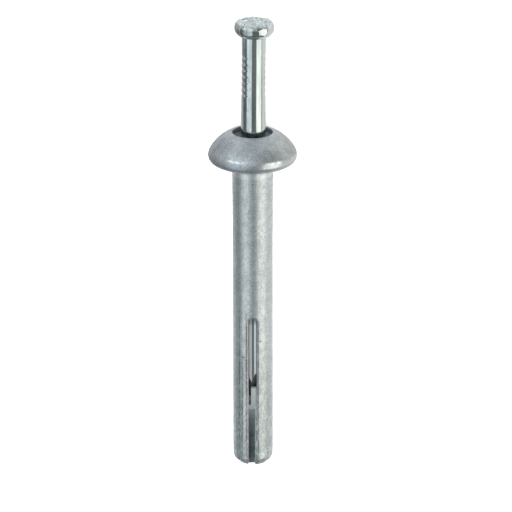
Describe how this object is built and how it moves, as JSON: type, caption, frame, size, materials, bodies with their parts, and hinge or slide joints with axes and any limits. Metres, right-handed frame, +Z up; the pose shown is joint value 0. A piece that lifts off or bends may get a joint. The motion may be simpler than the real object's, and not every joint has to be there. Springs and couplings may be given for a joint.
{
  "type": "hammer drive anchor",
  "caption": "Hammer drive anchor: a mushroom-head zinc sleeve with a split lower end, and a steel drive pin standing out of it, ready to be driven.",
  "frame": {"origin": "centre of the bounding box at its base, on the surface the anchor lies on", "axes": "+Y runs along the anchor toward the pin's head, +Z is up, and one window of the sleeve faces up; the axis climbs toward the pin by the few degrees at which the lying anchor rests on its head's rim and the sleeve's end"},
  "size_m": [0.0141, 0.0742, 0.0141],
  "materials": {
    "zinc_alloy": "satin",
    "plated_steel": "gloss"
  },
  "bodies": {
    "root": {"anchor_body": "zinc_alloy", "drive_pin": "plated_steel"}
  },
  "joints": []
}
